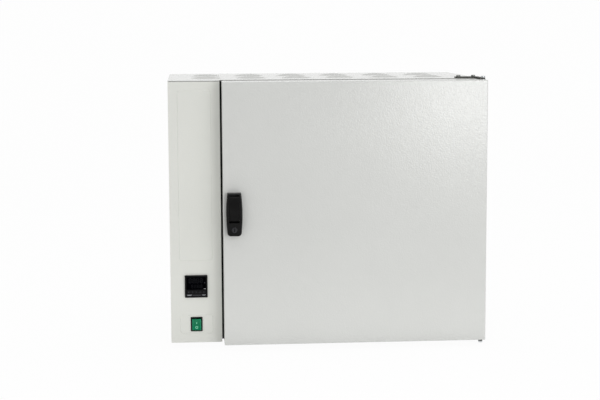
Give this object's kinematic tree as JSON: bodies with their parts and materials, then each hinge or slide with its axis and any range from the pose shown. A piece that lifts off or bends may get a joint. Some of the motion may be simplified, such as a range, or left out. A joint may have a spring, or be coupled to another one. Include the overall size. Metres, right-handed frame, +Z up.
{
  "type": "drying oven",
  "caption": "Bench drying oven with an insulated hinged door, a lever latch, a stainless chamber with wire shelves, a fan behind a baffle, and a control panel at the left.",
  "frame": {"origin": "on the table, under the middle of the oven's outline", "axes": "+X to the right as one faces the oven, +Y to its back, +Z up"},
  "size_m": [0.668, 0.542, 0.5745],
  "materials": {
    "powder_coat": "fine orange-peel powder coat, light grey",
    "galvanised_sheet": "zinc-coated sheet, dull",
    "stainless_sheet": "fine mill finish",
    "mineral_wool": "felted",
    "stainless_tube": "satin",
    "motor_case": "satin black",
    "aluminium": "satin",
    "plated_steel": "zinc plated",
    "spring_steel": "drawn wire",
    "black_plastic": "fine grained, near black",
    "damper_plastic": "satin, black",
    "cream_plastic": "satin",
    "display_window": "clear gloss over a dark display",
    "key_plastic": "satin grey",
    "green_rocker": "translucent green",
    "chrome_plug": "polished",
    "silicone": "smooth silicone",
    "rubber": "matte",
    "wire_jacket": "silicone jacket"
  },
  "bodies": {
    "case": {"top_cover": "powder_coat", "side_panel_left": "powder_coat", "side_panel_right": "powder_coat", "base_pan": "galvanised_sheet", "rear_panel": "powder_coat", "control_fascia": "powder_coat", "front_frame": "galvanised_sheet", "partition_wall": "galvanised_sheet", "inner_rear_wall": "galvanised_sheet", "chamber_liner": "stainless_sheet", "insulation_top": "mineral_wool", "insulation_bottom": "mineral_wool", "insulation_left": "mineral_wool", "insulation_right": "mineral_wool", "insulation_rear": "mineral_wool", "shelf_racks": "stainless_sheet", "air_baffle": "stainless_sheet", "heating_element": "stainless_tube", "temperature_sensor": "stainless_tube", "fan_motor": "motor_case", "heat_sink": "aluminium", "solid_state_relay": "black_plastic", "terminal_block": "cream_plastic", "wiring_loom": "wire_jacket", "controller_housing": "black_plastic", "controller_window": "display_window", "switch_housing": "black_plastic", "mains_inlet": "black_plastic", "exhaust_tube": "stainless_tube", "feet": "rubber", "case_screws": "plated_steel", "hinge_plate_upper": "plated_steel", "hinge_plate_lower": "plated_steel", "hinge_pins": "plated_steel", "hinge_screws": "plated_steel", "keeper_spring": "galvanised_sheet"},
    "door": {"door_skin": "powder_coat", "door_inner_panel": "stainless_sheet", "door_insulation": "mineral_wool", "door_gasket": "silicone", "door_screws": "plated_steel", "hinge_blocks": "plated_steel", "handle_base": "black_plastic", "lever_pin": "plated_steel", "latch_case": "galvanised_sheet", "latch_spring": "spring_steel"},
    "lever": {"handle_lever": "black_plastic"},
    "latch": {"latch_slide": "plated_steel"},
    "lock": {"lock_plug": "chrome_plug"},
    "rocker": {"switch_rocker": "green_rocker"},
    "key_1": {"controller_key_1": "key_plastic"},
    "key_2": {"controller_key_2": "key_plastic"},
    "key_3": {"controller_key_3": "key_plastic"},
    "key_4": {"controller_key_4": "key_plastic"},
    "key_5": {"controller_key_5": "key_plastic"},
    "fan": {"fan_impeller": "aluminium", "fan_shaft": "plated_steel"},
    "damper": {"vent_damper": "damper_plastic"},
    "upper_shelf": {"shelf_upper": "stainless_sheet"},
    "lower_shelf": {"shelf_lower": "stainless_sheet"}
  },
  "joints": [
    {"name": "door_swing", "type": "hinge", "parent": "case", "child": "door", "pos_m": [0.326, -0.24, 0.29], "axis": [0, 0, 1], "range_deg": [0, 110], "deforming": ["keeper_spring"]},
    {"name": "lever_pull", "type": "hinge", "parent": "door", "child": "lever", "pos_m": [-0.1993, -0.265, 0.279], "axis": [1, 0, 0], "range_deg": [0, 35]},
    {"name": "latch_lift", "type": "slide", "parent": "door", "child": "latch", "axis": [0, 0, 1], "range_m": [0, 0.0114], "stiffness_N_per_m": 60, "springref_m": -0.02, "deforming": ["latch_spring"]},
    {"name": "lock_turn", "type": "hinge", "parent": "door", "child": "lock", "pos_m": [-0.1993, -0.26, 0.26], "axis": [0, 1, 0], "range_deg": [0, 90]},
    {"name": "rocker_tilt", "type": "hinge", "parent": "case", "child": "rocker", "pos_m": [-0.28, -0.213, 0.052], "axis": [-1, 0, 0], "range_deg": [0, 20]},
    {"name": "key_press_1", "type": "slide", "parent": "case", "child": "key_1", "axis": [0, 1, 0], "range_m": [0, 0.0006], "stiffness_N_per_m": 500, "springref_m": -0.0004},
    {"name": "key_press_2", "type": "slide", "parent": "case", "child": "key_2", "axis": [0, 1, 0], "range_m": [0, 0.0006], "stiffness_N_per_m": 500, "springref_m": -0.0004},
    {"name": "key_press_3", "type": "slide", "parent": "case", "child": "key_3", "axis": [0, 1, 0], "range_m": [0, 0.0006], "stiffness_N_per_m": 500, "springref_m": -0.0004},
    {"name": "key_press_4", "type": "slide", "parent": "case", "child": "key_4", "axis": [0, 1, 0], "range_m": [0, 0.0006], "stiffness_N_per_m": 500, "springref_m": -0.0004},
    {"name": "key_press_5", "type": "slide", "parent": "case", "child": "key_5", "axis": [0, 1, 0], "range_m": [0, 0.0006], "stiffness_N_per_m": 500, "springref_m": -0.0004},
    {"name": "fan_spin", "type": "hinge", "parent": "case", "child": "fan", "pos_m": [0.056, 0.15, 0.29], "axis": [0, 1, 0], "continuous": true},
    {"name": "damper_turn", "type": "hinge", "parent": "case", "child": "damper", "pos_m": [0.176, 0.242, 0.41], "axis": [0, 0, 1], "range_deg": [0, 90]},
    {"name": "shelf_upper_slide", "type": "slide", "parent": "case", "child": "upper_shelf", "axis": [0, -1, 0], "range_m": [0, 0.025]},
    {"name": "shelf_lower_slide", "type": "slide", "parent": "case", "child": "lower_shelf", "axis": [0, -1, 0], "range_m": [0, 0.025]}
  ],
  "couplings": [
    {"joint": "lever_pull", "follows": "latch_lift", "rad_per_m": 53.58}
  ]
}
